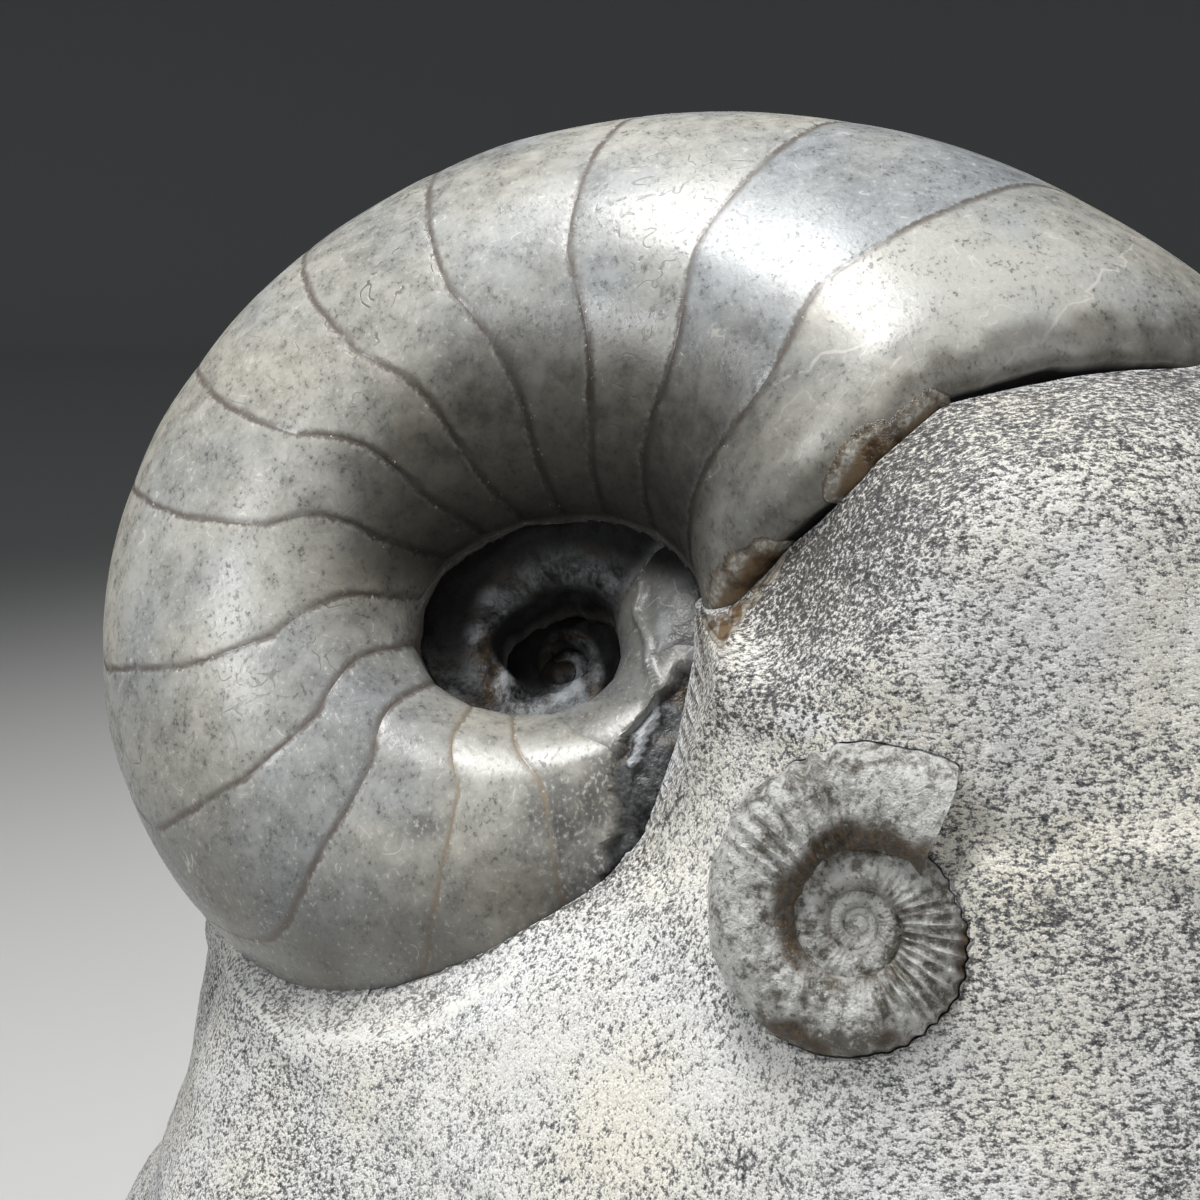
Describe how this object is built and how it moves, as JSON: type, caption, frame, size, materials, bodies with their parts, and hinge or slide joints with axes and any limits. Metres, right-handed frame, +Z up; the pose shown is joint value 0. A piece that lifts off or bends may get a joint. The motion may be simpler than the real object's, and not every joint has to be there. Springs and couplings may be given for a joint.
{
  "type": "fossil nautilus in limestone matrix",
  "caption": "Polished fossil nautilus shell with open umbilicus, bedded in a block of pale limestone that also carries a small ribbed ammonite.",
  "frame": {"origin": "centre of the bounding box's bottom, on the surface that the block stands on", "axes": "+X to the right along the block's length, -Y towards the front face with the coils, +Z up"},
  "size_m": [0.1466, 0.1106, 0.1163],
  "materials": {
    "limestone": "matt granular limestone, worked smooth in front and broken at the sides and back",
    "polished_shell": "satin-polished grey-beige fossil shell with thin brown suture lines",
    "rough_shell": "rough grey-brown fossil shell with a slight gloss"
  },
  "bodies": {
    "root": {"matrix": "limestone", "nautilus": "polished_shell", "ammonite": "rough_shell"}
  },
  "joints": []
}
